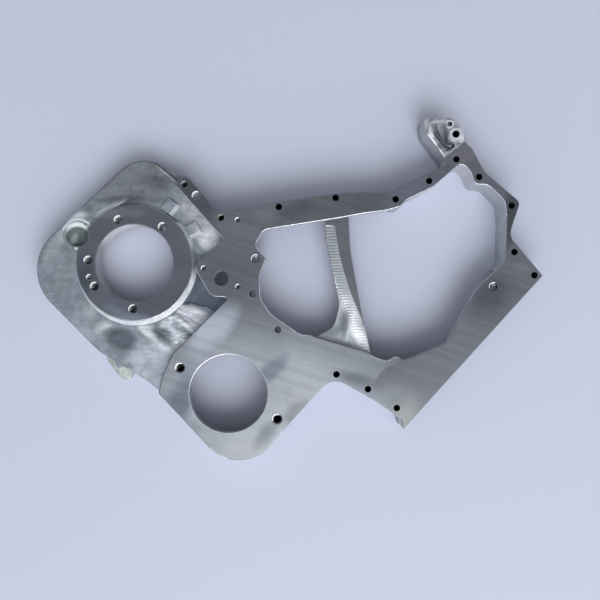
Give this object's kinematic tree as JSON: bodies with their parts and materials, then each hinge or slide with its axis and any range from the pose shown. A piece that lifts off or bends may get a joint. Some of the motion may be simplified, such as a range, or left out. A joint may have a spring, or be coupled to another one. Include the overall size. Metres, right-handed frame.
{
  "type": "gear housing",
  "caption": "Flat cast aluminium gear housing for the front of a diesel engine, with a raised pump seat, a drive bore, large windows and a bracket arm.",
  "frame": {"origin": "bottom centre of the bounding box, in the plane of the gear cover face that the part lies on", "axes": "+Z towards the engine block, square to the block face; +X along the longest side, from the pump seat to the oil pan side"},
  "size_m": [0.6412, 0.4318, 0.05],
  "materials": {
    "cast_aluminium": "milled joint faces, blasted cast skin elsewhere"
  },
  "bodies": {
    "root": {"gear_housing": "cast_aluminium"}
  },
  "joints": []
}
